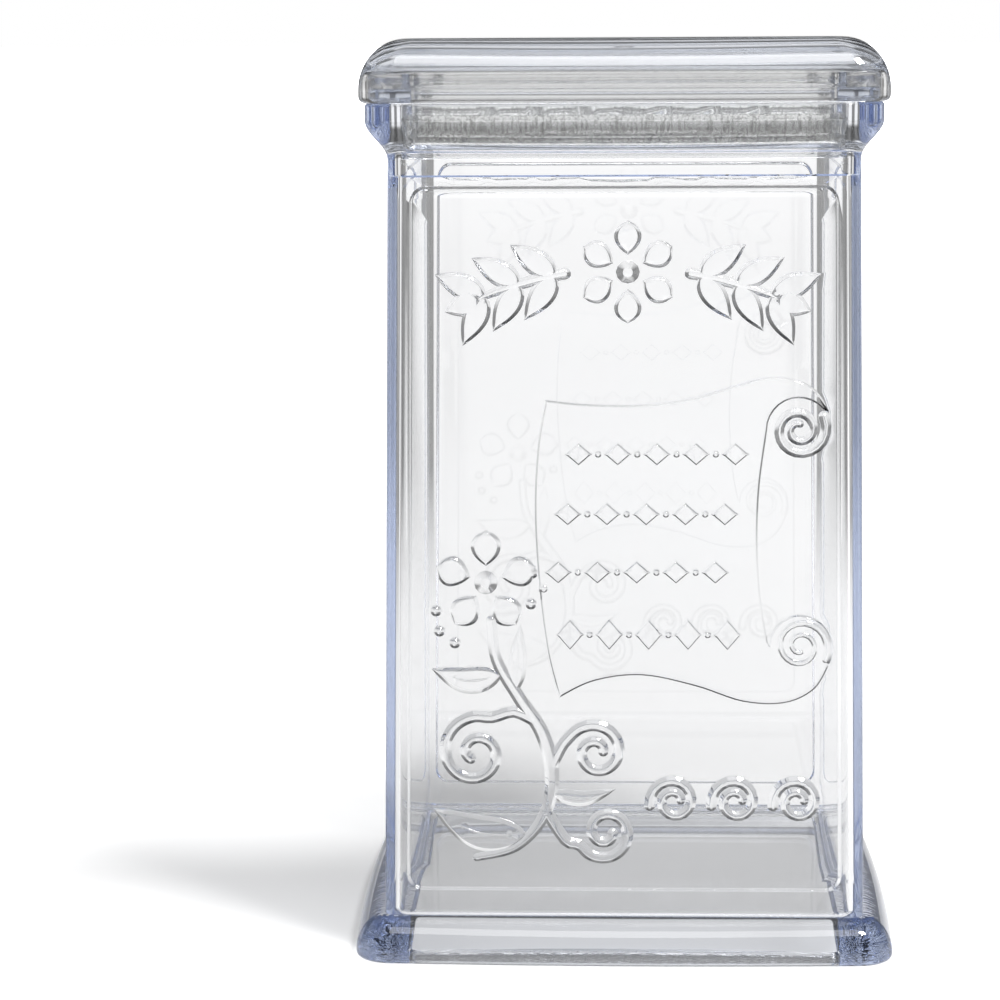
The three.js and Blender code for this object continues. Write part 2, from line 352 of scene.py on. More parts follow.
def raised(name, line, width, height=None, edge=None, onPanel=True):   # one raised form along a line
    height, edge = height or relief["height"], edge or relief["edge"]
    count = len(line)
    along = [0.0]
    for (x0, z0), (x1, z1) in zip(line, line[1:]):
        along.append(along[-1] + hypot(x1 - x0, z1 - z0))
    tangents = directions(line)

    def turned(i, angle):   # the line's direction at point i, turned
        x, z = tangents[i]
        return x * cos(angle) - z * sin(angle), x * sin(angle) + z * cos(angle)

    caps = shares(relief["capSteps"])[1:-1]
    loop = [(i, turned(i, pi / 2)) for i in range(count)]
    loop += [(count - 1, turned(count - 1, pi / 2 - pi * s)) for s in caps]
    loop += [(i, turned(i, -pi / 2)) for i in reversed(range(count))]
    loop += [(0, turned(0, -pi / 2 - pi * s)) for s in caps]

    def place(x, z, out):
        return (x, (panelFace(z) if onPanel else 0) - out, z)

    verts, levels = [], []
    for i, (dirX, dirZ) in loop:
        half = width(along[i] / along[-1])
        reach = min(edge, relief["edgeMost"] * half)
        top = height * min(1, mix(relief["thinTop"], 1, half / edge))
        x, z = line[i]
        verts.append(place(x + dirX * half, z + dirZ * half, -relief["sunk"]))
        for inwards, up in edgeProfile:
            r = half - reach * inwards
            verts.append(place(x + dirX * r, z + dirZ * r, top * up))
        levels.append(top)
    rows = len(edgeProfile) + 1
    topMiddle, lowMiddle = len(verts), len(verts) + count
    for i in range(count):
        verts.append(place(*line[i], levels[i]))
    for i in range(count):
        verts.append(place(*line[i], -relief["sunk"]))
    faces = []
    for a in range(len(loop)):
        b = (a + 1) % len(loop)
        i, k = loop[a][0], loop[b][0]
        for row in range(rows - 1):
            faces.append((a * rows + row, b * rows + row, b * rows + row + 1, a * rows + row + 1))
        topFace = [a * rows + rows - 1, b * rows + rows - 1, topMiddle + k, topMiddle + i]
        lowFace = [lowMiddle + i, lowMiddle + k, b * rows, a * rows]
        faces.append(tuple(dict.fromkeys(topFace)))
        faces.append(tuple(dict.fromkeys(lowFace)))
    return faceOutwards(makeObject(name, verts, faces))


def raisedArea(name, border, height, edge):   # a flat raised form inside a border that runs anticlockwise
    tangents = directions(border, closed=True)
    loops = [[(x, panelFace(z) + relief["sunk"], z) for x, z in border]]
    for inwards, up in edgeProfile:
        inset = edge * inwards
        loops.append([(x - dirZ * inset, panelFace(z) - height * up, z + dirX * inset)
                      for (x, z), (dirX, dirZ) in zip(border, tangents)])
    return divideFront(loft(name, loops))


def maths(tree, operation, *values):   # one maths node, fed with numbers or with other nodes' outputs
    node = tree.nodes.new("ShaderNodeMath")
    node.operation = operation
    for socket, value in zip(node.inputs, values):
        if isinstance(value, (int, float)):
            socket.default_value = value
        else:
            tree.links.new(value, socket)
    return node.outputs[0]


# Sets copies of a small raised form round an arc or along a row on the panel
def makeMotifTree():
    tree = bpy.data.node_groups.new("motifsOnPanel", "GeometryNodeTree")
    tree.interface.new_socket("Geometry", in_out="INPUT", socket_type="NodeSocketGeometry")
    kinds = {"Motif": "Object", "Finish": "Material", "Count": "Int"}
    for name in ("Motif", "Finish", "Count", "Middle X", "Middle Z", "Radius", "Start Angle", "Angle Step",
                 "Row Step", "Tilt", "Face", "Lean"):
        tree.interface.new_socket(name, in_out="INPUT", socket_type="NodeSocket" + kinds.get(name, "Float"))
    tree.interface.new_socket("Geometry", in_out="OUTPUT", socket_type="NodeSocketGeometry")
    nodes, links = tree.nodes, tree.links
    given, out = nodes.new("NodeGroupInput"), nodes.new("NodeGroupOutput")

    def vector(**parts):
        node = nodes.new("ShaderNodeCombineXYZ")
        for name, part in parts.items():
            links.new(part, node.inputs[name])
        return node.outputs[0]

    index = nodes.new("GeometryNodeInputIndex").outputs["Index"]
    value = given.outputs
    angle = maths(tree, "MULTIPLY_ADD", index, value["Angle Step"], value["Start Angle"])
    x = maths(tree, "MULTIPLY_ADD", value["Radius"], maths(tree, "COSINE", angle), value["Middle X"])
    x = maths(tree, "MULTIPLY_ADD", index, value["Row Step"], x)
    z = maths(tree, "MULTIPLY_ADD", value["Radius"], maths(tree, "SINE", angle), value["Middle Z"])
    y = maths(tree, "MULTIPLY_ADD", z, value["Lean"], value["Face"])
    points = nodes.new("GeometryNodePoints")
    links.new(value["Count"], points.inputs["Count"])
    links.new(vector(X=x, Y=y, Z=z), points.inputs["Position"])
    motif = nodes.new("GeometryNodeObjectInfo")
    links.new(value["Motif"], motif.inputs["Object"])
    place = nodes.new("GeometryNodeInstanceOnPoints")
    links.new(points.outputs["Points"], place.inputs["Points"])
    links.new(motif.outputs["Geometry"], place.inputs["Instance"])
    turn = maths(tree, "MULTIPLY", maths(tree, "ADD", angle, value["Tilt"]), -1.0)
    links.new(vector(Y=turn), place.inputs["Rotation"])
    real = nodes.new("GeometryNodeRealizeInstances")
    links.new(place.outputs["Instances"], real.inputs["Geometry"])
    finish = nodes.new("GeometryNodeSetMaterial")
    links.new(real.outputs["Geometry"], finish.inputs["Geometry"])
    links.new(value["Finish"], finish.inputs["Material"])
    links.new(finish.outputs["Geometry"], out.inputs["Geometry"])
    return tree


def setMotifs(tree, motif, finish, count, middle, radius=0, start=0, step=0, rowStep=0, tilt=0):
    holder = bpy.data.objects.new("motifs", bpy.data.meshes.new("motifs"))
    bpy.context.scene.collection.objects.link(holder)
    modifier = holder.modifiers.new("motifs", "NODES")
    modifier.node_group = tree
    values = {"Motif": motif, "Finish": finish, "Count": count, "Middle X": middle[0] * mm,
              "Middle Z": middle[1] * mm, "Radius": radius * mm, "Start Angle": radians(start),
              "Angle Step": radians(step), "Row Step": rowStep * mm, "Tilt": radians(tilt),
              "Face": panelFace(0) * mm, "Lean": lean}
    for item in tree.interface.items_tree:
        if item.in_out == "INPUT" and item.name in values:
            modifier[item.identifier] = values[item.name]
    mesh = bpy.data.meshes.new_from_object(holder.evaluated_get(bpy.context.evaluated_depsgraph_get()))
    holder.modifiers.clear()
    holder.data = mesh
    return holder


garland = {
    "centre": (0.7, 50.0), "radius": 66.0,
    "fromAngle": 9.2, "toAngle": 23.0,   # degrees from the top of the arc
    "stemHalf": (1.0, 1.0, 0.6), "leafLength": 9.2, "leafHalf": 2.25, "endLeafLength": 6.4,
    "leafStep": 5.4, "firstLeaf": 10.6, "leafTilt": 44, "pairs": 3, "endLeafBack": 0.8,
    "rosetteAt": (0.7, 115.4), "petals": 6, "petalLength": 5.6, "petalHalf": 2.35, "petalShape": (1.15, 0.6),
    "petalRing": 3.0, "heart": 2.0,
}
sheet = {   # a sheet of paper whose right edge rolls up at both ends
    "height": 0.36, "edge": 0.36,
    "left": [(-13.2, 93.8), (-14.5, 86.0), (-15.0, 75.0), (-14.2, 62.0), (-12.7, 51.0), (-10.8, 43.6)],
    "bottom": [(-10.8, 43.6), (-5.0, 46.4), (3.0, 47.4), (12.0, 45.6), (20.0, 43.0), (27.0, 42.8),
               (32.0, 45.2), (34.6, 49.6)],
    "lowRoll": (29.6, 52.4), "rollRadius": 5.3, "highRoll": (29.5, 88.8),
    "right": [(24.3, 52.4), (23.0, 60.5), (22.5, 70.0), (22.9, 79.5), (24.2, 88.8)],
    "top": [(34.5, 91.6), (32.6, 95.2), (29.0, 97.2), (24.0, 97.6), (18.0, 96.0), (11.0, 94.0), (3.0, 93.0),
            (-6.0, 93.1), (-13.2, 93.8)],
    "rollTurns": 1.85, "rollFrom": 4.75, "rollTo": 1.0, "rollHalf": (0.95, 0.85, 0.7), "rollStart": 28,
}
rows = {   # one row for each: middle height, left end, half height of a lozenge, how many
    "places": [(84.7, -7.6, 2.1, 5), (74.6, -9.4, 2.1, 5), (64.8, -11.0, 2.1, 5), (54.3, -9.0, 2.8, 5)],
    "step": 6.6, "lozengeLength": 4.6, "bead": 0.8, "height": 0.68, "edge": 0.6, "bulge": 0.9,
}
vine = {
    "stem": [(-22.3, 56.6), (-21.4, 50.0), (-17.6, 43.6), (-13.6, 37.4), (-12.0, 30.2), (-13.4, 23.6),
             (-18.0, 18.4), (-24.6, 16.6)],
    "stemHalf": (0.9, 1.25, 0.7),
    "leftCurl": {"from": [(-14.8, 39.6), (-18.4, 41.2)], "centre": (-24.8, 34.2), "fromRadius": 6.6,
                 "toRadius": 1.3, "start": 66, "turns": 1.45},
    "rightCurl": {"from": [(-12.3, 31.4), (-10.6, 35.0)], "centre": (-4.6, 34.4), "fromRadius": 5.2,
                  "toRadius": 1.2, "start": 152, "turns": -1.4},
    "lowCurl": {"from": [(-13.1, 24.6), (-9.8, 19.6)], "centre": (-3.0, 21.0), "fromRadius": 5.0,
                "toRadius": 1.2, "start": 206, "turns": 1.4},
    "curlHalf": (1.0, 1.0, 0.9),
    "leaves": [((-20.6, 47.4), (-32.2, 48.4)), ((-18.2, 44.6), (-17.4, 55.8)), ((-16.4, 20.6), (-31.8, 24.6)),
               ((-12.4, 27.6), (-1.4, 28.2))],
    "leafHalf": (2.3, 1.6, 3.0, 1.4), "leafHeight": 0.4, "leafSag": 0.12, "veinHalf": 0.5,
    "blossomAt": (-23.2, 63.0), "petals": 5, "petalLength": 5.8, "petalHalf": 2.6, "petalShape": (1.2, 0.6),
    "petalRing": 2.9, "firstPetal": 18, "heart": 2.0,
    "berries": [(-31.0, 54.8), (-28.4, 52.8), (-31.6, 58.2), (-15.6, 59.4), (-13.4, 62.0), (-15.4, 64.6)],
    "berryHalf": 0.95,
}
curls = {"first": (8.4, 26.2), "step": 10.3, "count": 3, "fromRadius": 4.1, "toRadius": 1.2, "start": 190,
         "turns": -1.5, "half": (0.95, 0.9, 0.8)}


def drawIn(piece):   # from the straight layout to the panel
    for vert in piece.data.vertices:
        x, y, z = vert.co / mm
        share = (z - layout["low"]) / (layout["high"] - layout["low"])
        rise = 4 * layout["middleRise"] * share * (1 - share)
        newZ = mix(jar["panelBottom"], jar["panelTop"], share) + rise
        newX = x * panelHalfAt(newZ) / layout["half"]
        vert.co = Vector((newX, y + panelFace(newZ) - panelFace(z), newZ)) * mm


def makeBead(half, height=None):   # a round form on a line that is almost a point
    line = [(-relief["beadLine"], 0), (relief["beadLine"], 0)]
    return raised("bead", line, lambda s: half, height, relief["beadEdge"] * half, onPanel=False)


def makeLeafForm(length, half, bulge=0.75, fullness=0.8, height=None):
    line = [(length * s, 0) for s in shares(12)]
    return raised("leafForm", line, leafWidth(half, bulge, fullness), height, onPanel=False)


def arc(centre, radius, start, end, steps=12):   # angles in degrees
    angles = [radians(mix(start, end, s)) for s in shares(steps)]
    return [(centre[0] + radius * cos(angle), centre[1] + radius * sin(angle)) for angle in angles]


def makeSheet():
    s = sheet
    border = smoothLine(s["left"])[:-1] + smoothLine(s["bottom"])[:-1]
    border += arc(s["lowRoll"], s["rollRadius"], -s["rollStart"], 180)[:-1]
    border += smoothLine(s["right"])[:-1]
    border += arc(s["highRoll"], s["rollRadius"], 180, s["rollStart"])[:-1]
    border += smoothLine(s["top"])[:-1]
    parts = [raisedArea("sheet", border, s["height"], s["edge"])]
    for centre, way in ((s["highRoll"], -1), (s["lowRoll"], 1)):
        roll = spiral(centre, s["rollFrom"], s["rollTo"], -way * s["rollStart"], way * s["rollTurns"], 20)
        parts.append(raised("roll", roll, taper(*s["rollHalf"])))
    return parts


def makeRelief(finish):
    tree = makeMotifTree()
    parts = []

    def motifs(form, *places, **values):
        parts.extend(setMotifs(tree, form, finish, middle=place, **values) for place in places)
        bpy.data.objects.remove(form)

    g = garland
    for side in (1, -1):   # the two branches, right and left of the rosette
        parts.append(raised("garlandStem", arc(g["centre"], g["radius"], 90 - side * g["fromAngle"],
                                               90 - side * g["toAngle"], 16), taper(*g["stemHalf"])))
        for slope in (1, -1):
            motifs(makeLeafForm(g["leafLength"], g["leafHalf"]), g["centre"], count=g["pairs"],
                   radius=g["radius"], start=90 - side * g["firstLeaf"], step=-side * g["leafStep"],
                   tilt=-side * 90 + side * slope * g["leafTilt"])
        motifs(makeLeafForm(g["endLeafLength"], g["leafHalf"]), g["centre"], count=1,
               radius=g["radius"], start=90 - side * (g["toAngle"] - g["endLeafBack"]), tilt=-side * 90)
    motifs(makeLeafForm(g["petalLength"], g["petalHalf"], *g["petalShape"]), g["rosetteAt"],
           count=g["petals"], radius=g["petalRing"], start=90, step=360 / g["petals"])
    motifs(makeBead(g["heart"]), g["rosetteAt"], count=1)

    parts.extend(makeSheet())
    for z, left, halfHeight, count in rows["places"]:
        length = rows["lozengeLength"]
        lozenge = raised("lozenge", [(length * (s - 0.5), 0) for s in shares(8)],
                         lambda s: max(relief["tip"], halfHeight * (1 - abs(2 * s - 1)) ** rows["bulge"]),
                         rows["height"], rows["edge"], onPanel=False)
        motifs(lozenge, (left, z), count=count, rowStep=rows["step"])
        bead = makeBead(rows["bead"], rows["height"])
        motifs(bead, (left + rows["step"] / 2, z), count=count - 1, rowStep=rows["step"])

    v = vine
    parts.append(raised("vineStem", smoothLine(v["stem"]), taper(*v["stemHalf"])))
    for name in ("leftCurl", "rightCurl", "lowCurl"):
        curl = dict(v[name])
        lead = curl.pop("from")
        parts.append(raised("vineCurl", smoothLine(lead + spiral(**curl), 3), taper(*v["curlHalf"])))
    for (start, tip), leafHalf in zip(v["leaves"], v["leafHalf"]):
        sag = v["leafSag"] * abs(tip[0] - start[0])
        line = smoothLine([start, (mix(start[0], tip[0], 0.5), mix(start[1], tip[1], 0.5) - sag), tip], 8)
        parts.append(raised("vineLeaf", line, leafWidth(leafHalf), v["leafHeight"]))
        parts.append(raised("vineVein", line[2:-3], leafWidth(v["veinHalf"])))
    motifs(makeLeafForm(v["petalLength"], v["petalHalf"], *v["petalShape"]), v["blossomAt"],
           count=v["petals"], radius=v["petalRing"], start=v["firstPetal"], step=360 / v["petals"])
    motifs(makeBead(v["heart"]), v["blossomAt"], count=1)
    motifs(makeBead(v["berryHalf"]), *v["berries"], count=1)

    c = curls
    line = spiral((0, 0), c["fromRadius"], c["toRadius"], c["start"], c["turns"], 18)
    curl = raised("curl", line, taper(*c["half"]), onPanel=False)
    motifs(curl, c["first"], count=c["count"], rowStep=c["step"])

    whole = parts[0]
    for part in parts[1:]:
        combine(whole, part)
    drawIn(whole)
    return whole


# Lid
lid = {
    "top": coverHigh.z / mm, "coverHalf": 43.3, "coverBow": 1.3, "coverCorner": 5.5,
    "coverTop": 4.9, "skirt": 1.4, "shoulderReach": 7.4, "shoulderHeight": 8.4, "edge": 1.1,
    "innerRound": 1.8, "topFlat": 20.0, "topFlatCorner": 6.0,
    "plugHalf": 36.65, "plugCorner": 3.25, "plugReach": 6.7, "plugWall": 1.8, "plugFloor": 2.0,
    "plugFillet": 1.0, "plugEdge": 0.5, "brim": 2.4, "fitGap": 0.3,
    "grooveDepth": 0.8, "grooveBottom": 1.4, "grooveHeight": 3.7, "grooveEdge": 0.06,
    "sealLip": 0.55,      # how far the seal's lips stand out
    "sealWeb": 0.4,       # half of the share of that by which it draws in between them
    "sealEnds": 0.6,      # the share by which it draws in more at its ends
    "sealEndSlope": 9.0,  # an end takes up one ninth of its height
    "gateHalf": 1.7, "gateDepth": 0.35,
    "softEdge": 0.25, "seam": 0.03,   # the thin film of air where two pieces touch
}
# The mark of the mould's gate: shares of its half width, of its depth and of its half width as corner
gateProfile = [(1.15, 0, 1), (1, 0.03, 0.98), (0.8, 0.75, 0.79), (0.6, 1, 0.59), (0.2, 0.95, 0.19)]


def makeCover():
    l, base = lid, jar["height"]
    ceiling = l["top"] - l["coverTop"]
    innerHalf, innerCorner = l["coverHalf"] - l["skirt"], l["coverCorner"] - l["skirt"]
    rings = quarter(innerHalf - l["innerRound"], ceiling - l["innerRound"], l["innerRound"], l["innerRound"],
                    1, 0, innerCorner - l["innerRound"], l["coverBow"], 6)
    base += l["seam"]
    rings += quarter(innerHalf + l["softEdge"], base + l["softEdge"], -l["softEdge"], -l["softEdge"], 0, 1,
                     innerCorner + l["softEdge"], l["coverBow"], 3)
    rings += quarter(l["coverHalf"] - l["edge"], base + l["edge"], l["edge"], l["edge"], -1, 0,
                     l["coverCorner"] - l["edge"], l["coverBow"], 6)
    cornerChange = (l["coverCorner"] - l["plugCorner"]) / l["shoulderReach"]
    for s in shares(detail["curve"] + 2):
        drop = l["shoulderReach"] * (1 - cos(s * pi / 2))
        rings.append((l["coverHalf"] - drop, l["top"] - l["shoulderHeight"] * (1 - sin(s * pi / 2)),
                      l["coverCorner"] - drop * cornerChange, l["coverBow"] * cos(s * pi / 2)))
    rings.append((l["topFlat"], l["top"], l["topFlatCorner"], 0))
    rings += [(l["gateHalf"] * across, l["top"] - l["gateDepth"] * down, l["gateHalf"] * corner, 0)
              for across, down, corner in gateProfile]
    return skin("lidCover", rings)


def makePlug():
    l, base = lid, jar["height"]
    bottom, ceiling = base - l["plugReach"], l["top"] - l["coverTop"] - l["seam"]
    half, inner = l["plugHalf"], l["plugHalf"] - l["plugWall"]
    groove, grooveTop = bottom + l["grooveBottom"], bottom + l["grooveBottom"] + l["grooveHeight"]
    brimHalf = l["coverHalf"] - l["skirt"] - l["fitGap"]
    brimCorner = l["coverCorner"] - l["skirt"] - l["fitGap"]
    brimBottom, brimTop, soft = base + l["seam"], base + l["brim"], l["softEdge"]

    def wall(ringHalf, z):
        return (ringHalf, z, l["plugCorner"] + ringHalf - half, 0)

    rings = [wall(half - l["plugEdge"] * (1 - sin(s * pi / 2)),
                  bottom + l["plugEdge"] * (1 - cos(s * pi / 2))) for s in shares(4)]
    rings += [wall(half, groove), wall(half - l["grooveDepth"], groove + l["grooveEdge"]),
              wall(half - l["grooveDepth"], grooveTop - l["grooveEdge"]), wall(half, grooveTop)]
    rings += quarter(half + soft, brimBottom - soft, -soft, soft, 0, 1, l["plugCorner"] + soft, 0, 3)
    for z, up, start in ((brimBottom + soft, -soft, 1), (brimTop - soft, soft, 0)):
        rings += quarter(brimHalf - soft, z, soft, up, start, 1 - start, brimCorner - soft, l["coverBow"], 3)
    rings += quarter(half + soft, brimTop + soft, -soft, -soft, 1, 0, l["plugCorner"] + soft, 0, 3)
    rings += [wall(half, ceiling), wall(inner, ceiling)]
    fillet = l["plugFillet"]
    rings += [wall(inner - fillet * (1 - cos(s * pi / 2)),
                   bottom + l["plugFloor"] + fillet * (1 - sin(s * pi / 2))) for s in shares(5)]
    return skin("lidPlug", rings)


def makeSeal():
    l = lid
    back = l["plugHalf"] - l["grooveDepth"] + l["fitGap"]
    lip = jar["mouthHalf"] - l["fitGap"]
    bottom = jar["height"] - l["plugReach"] + l["grooveBottom"]
    height = l["grooveHeight"] - l["fitGap"]

    def ring(half, share):
        return (half, bottom + height * share, l["plugCorner"] + half - l["plugHalf"], 0)

    rings = [ring(back, 0)]
    for s in shares(24):   # two lips, one near each edge, with a web between them
        edge = min(1, min(s, 1 - s) * l["sealEndSlope"])
        drawnIn = l["sealWeb"] * (1 + cos(4 * pi * s)) + l["sealEnds"] * (1 - edge)
        rings.append(ring(lip - l["sealLip"] * min(1, drawnIn), s))
    rings.append(ring(back, 1))
    return skin("sealRing", rings, looped=True)


# Finishes. The groups give heights that change over a surface, and each material has its own values.
plastic = {
    "ior": 1.57, "tint": (0.07, 0.27, 0.7), "density": {"jar": 7.5, "plug": 3.5, "cover": 1.5},
    "colour": {"jar": (0.99, 0.99, 0.99), "plug": (0.985, 0.985, 0.985), "cover": (0.91, 0.91, 0.905)},
    "roughness": {"jar": 0.0, "plug": 0.0, "cover": 0.02},
    "shadow": 0.13,      # the share of a lamp's light that each face holds back from the floor
    "slantPower": 6.0,   # the higher, the flatter light has to strike a face to be held back whole
    "flowScale": 45.0, "flowFineScale": 315.0, "flowFine": 0.12, "flowDepth": 0.002 * mm,
    "footGrainScale": 1100.0, "footGrainDepth": 0.12 * mm, "footGrainBelow": 0.1 * mm,
}
seal = {
    "colour": (1.0, 1.0, 0.98), "dullColour": (0.5, 0.5, 0.47), "roughness": 0.05, "ior": 1.41,
    "transmission": 1.0, "grainScale": 2200.0, "grainDepth": 0.05 * mm, "grainBelow": 1.0,
    # the mottle is partly the seal's own speckled tone and partly painted glints of its frosted face
    "mottleWithPaintedGlints": (0.41, 0.46),
}


def newGroup(name, inputs, outputs):
    group = bpy.data.node_groups.new(name, "ShaderNodeTree")
    for socketName, value in inputs.items():
        kind = "NodeSocketVector" if isinstance(value, tuple) else "NodeSocketFloat"
        group.interface.new_socket(socketName, in_out="INPUT", socket_type=kind).default_value = value
    for socketName in outputs:
        group.interface.new_socket(socketName, in_out="OUTPUT", socket_type="NodeSocketFloat")
    return group, group.nodes.new("NodeGroupInput"), group.nodes.new("NodeGroupOutput")


def makeMouldFlow():   # slow waves that a moulded surface keeps from the flow of the plastic, and finer ones
    group, given, out = newGroup("mouldFlow", {"Scale": 60.0, "Fine Scale": 400.0, "Fine": 0.2}, ["Height"])
    place = group.nodes.new("ShaderNodeTexCoord")
    heights = []
    for name in ("Scale", "Fine Scale"):
        noise = group.nodes.new("ShaderNodeTexNoise")
        noise.inputs["Detail"].default_value = 1.0
        group.links.new(given.outputs[name], noise.inputs["Scale"])
        group.links.new(place.outputs["Object"], noise.inputs["Vector"])
        heights.append(noise.outputs["Fac"])
    slow, fine = heights
    group.links.new(maths(group, "MULTIPLY_ADD", fine, given.outputs["Fine"], slow), out.inputs["Height"])
    return group


def makeGrain():   # a fine pitted grain, kept below a given height
    group, given, out = newGroup("grain", {"Scale": 900.0, "Below": 0.001}, ["Height"])
    nodes, links = group.nodes, group.links
    place, parts = nodes.new("ShaderNodeTexCoord"), nodes.new("ShaderNodeSeparateXYZ")
    pits = nodes.new("ShaderNodeTexNoise")
    pits.inputs["Detail"].default_value = 2.0
    links.new(given.outputs["Scale"], pits.inputs["Scale"])
    links.new(place.outputs["Object"], pits.inputs["Vector"])
    links.new(place.outputs["Object"], parts.inputs["Vector"])
    below = maths(group, "LESS_THAN", parts.outputs["Z"], given.outputs["Below"])
    links.new(maths(group, "MULTIPLY", pits.outputs["Fac"], below), out.inputs["Height"])
    return group


def addGroup(material, group, values):
    node = material.node_tree.nodes.new("ShaderNodeGroup")
    node.node_tree = group
    for name, value in values.items():
        node.inputs[name].default_value = value
    return node


def addBump(material, height, distance, normal=None):
    bump = material.node_tree.nodes.new("ShaderNodeBump")
    bump.inputs["Strength"].default_value = 1.0
    bump.inputs["Distance"].default_value = distance
    material.node_tree.links.new(height, bump.inputs["Height"])
    if normal is not None:
        material.node_tree.links.new(normal, bump.inputs["Normal"])
    return bump.outputs["Normal"]


def addShadowLight(material):   # lets a lamp's light through, less where it meets a face at a slant
    tree = material.node_tree
    slant, paths = tree.nodes.new("ShaderNodeLayerWeight"), tree.nodes.new("ShaderNodeLightPath")
    slant.inputs["Blend"].default_value = 0.5
    steep = maths(tree, "POWER", slant.outputs["Facing"], plastic["slantPower"])
    lessened = maths(tree, "MULTIPLY_ADD", steep, 1 - plastic["shadow"], plastic["shadow"] - 1)
    return maths(tree, "MULTIPLY_ADD", paths.outputs["Is Shadow Ray"], lessened, 1.0)


def clearPlasticMaterial(mouldFlow, grain, part):
    material = bpy.data.materials.new("clearPlastic" + part.title())
    material.use_nodes = True
    nodes, links = material.node_tree.nodes, material.node_tree.links
    shader = nodes["Principled BSDF"]
    shader.inputs["Base Color"].default_value = (*plastic["colour"][part], 1)
    shader.inputs["Roughness"].default_value = plastic["roughness"][part]
    shader.inputs["IOR"].default_value = plastic["ior"]
    shader.inputs["Transmission Weight"].default_value = 1.0
    flow = addGroup(material, mouldFlow, {
        "Scale": plastic["flowScale"], "Fine Scale": plastic["flowFineScale"], "Fine": plastic["flowFine"]})
    foot = addGroup(material, grain, {
        "Scale": plastic["footGrainScale"], "Below": plastic["footGrainBelow"]})
    normal = addBump(material, flow.outputs["Height"], plastic["flowDepth"])
    normal = addBump(material, foot.outputs["Height"], plastic["footGrainDepth"], normal)
    links.new(normal, shader.inputs["Normal"])
    links.new(addShadowLight(material), shader.inputs["Alpha"])
    depth = nodes.new("ShaderNodeVolumeAbsorption")
    depth.inputs["Color"].default_value = (*plastic["tint"], 1)
    depth.inputs["Density"].default_value = plastic["density"][part]
    links.new(depth.outputs["Volume"], nodes["Material Output"].inputs["Volume"])
    return material


def frostedSealMaterial(grain):
    material = bpy.data.materials.new("frostedSeal")
    material.use_nodes = True
    shader = material.node_tree.nodes["Principled BSDF"]
    shader.inputs["Roughness"].default_value = seal["roughness"]
    shader.inputs["IOR"].default_value = seal["ior"]
    shader.inputs["Transmission Weight"].default_value = seal["transmission"]
    nodes, links = material.node_tree.nodes, material.node_tree.links
    frost = addGroup(material, grain, {"Scale": seal["grainScale"], "Below": seal["grainBelow"]})
    links.new(addBump(material, frost.outputs["Height"], seal["grainDepth"]), shader.inputs["Normal"])
    # the seal's colour is mottled by its grain: partly its own speckled tone, partly painted glints of its
    # frosted face
    spread, colour = nodes.new("ShaderNodeMapRange"), nodes.new("ShaderNodeMix")
    spread.inputs["From Min"].default_value, spread.inputs["From Max"].default_value = seal["mottleWithPaintedGlints"]
    colour.data_type = "RGBA"
    colour.inputs["A"].default_value = (*seal["dullColour"], 1)
    colour.inputs["B"].default_value = (*seal["colour"], 1)
    links.new(frost.outputs["Height"], spread.inputs["Value"])
    links.new(spread.outputs["Result"], colour.inputs["Factor"])
    links.new(colour.outputs["Result"], shader.inputs["Base Color"])
    return material


def finishPiece(piece, material, body, node):
    mesh = piece.data
    mesh.materials.clear()
    mesh.materials.append(material)
    mesh.polygons.foreach_set("material_index", [0] * len(mesh.polygons))
    mesh.shade_smooth()
    mesh.set_sharp_from_angle(angle=radians(detail["sharpAngle"]))
    weighted = piece.modifiers.new("weights", "WEIGHTED_NORMAL")
    weighted.keep_sharp = True
    weighted.weight = 100
    evaluated = piece.evaluated_get(bpy.context.evaluated_depsgraph_get())
    final = bpy.data.meshes.new_from_object(evaluated)
    piece.modifiers.clear()
    piece.data = final
    final.name = piece.name
    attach(piece, body)
    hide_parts(node)


# Room: a white ground in a dim room, and two soft lamps high in front of the jar, the key to the right. The
# camera sees plain white. Glass and gloss see a ground and a low sky that are bright towards each side and
# corner, and darker between them, as between white boards. Painted light makes the ground that the camera
# sees lighter behind the jar, and glass and gloss see a painted pool of light on the ground under the jar.
# Places and sizes are in metres.
room = {
    "sky": [(0.0, 1.0), (0.12, 0.85), (0.2, 0.4), (0.28, 0.15), (0.6, 0.12), (1.0, 0.3)],   # height, grey
    "boards": 8, "boardEdges": (-0.05, 0.5), "betweenBoards": 0.25,   # edges on the boards' wave
    "floorSize": 60.0, "floorDrop": 0.02 * mm, "floorGrey": 0.5, "floorGreySeen": 0.8, "farDistance": 10.0,
    # under the jar and out to 5.5 cm the glow is a painted pool of light, standing in for light that the
    # clear foot gathers
    "glow": [(0.0, 0.36), (0.0055, 0.37), (0.008, 0.1), (0.014, 0.09), (0.033, 0.2), (0.06, 0.37),
             (0.12, 0.65), (0.21, 0.82), (0.4, 1.0), (1.0, 1.0)],   # share of the far distance, glow
    "glowSeen": [(0.0, 0.12), (0.04, 0.2), (0.12, 1.0)],
    "paintedLightBehind": (0.007, 0.055, 3.4),   # painted light: from where to where the ground is made lighter behind the jar, and how many times
    "boardsStart": (0.03, 0.06),   # the share of the far distance over which the dark stretches begin
    "keyPlace": (0.56, -0.47, 1.29), "keySize": (0.4, 0.34), "keyPower": 38.0,
    "topPlace": (0.0, -0.54, 1.35), "topSize": (0.7, 0.6), "topPower": 4.3,
    "lampsAimAt": (0.0, 0.0, 0.05), "bounces": 64,
}


def fillRamp(ramp, stops):
    for _ in stops[2:]:
        ramp.elements.new(0.5)
    for element, (position, grey) in zip(ramp.elements, stops):
        element.position = position
        element.color = (grey, grey, grey, 1)


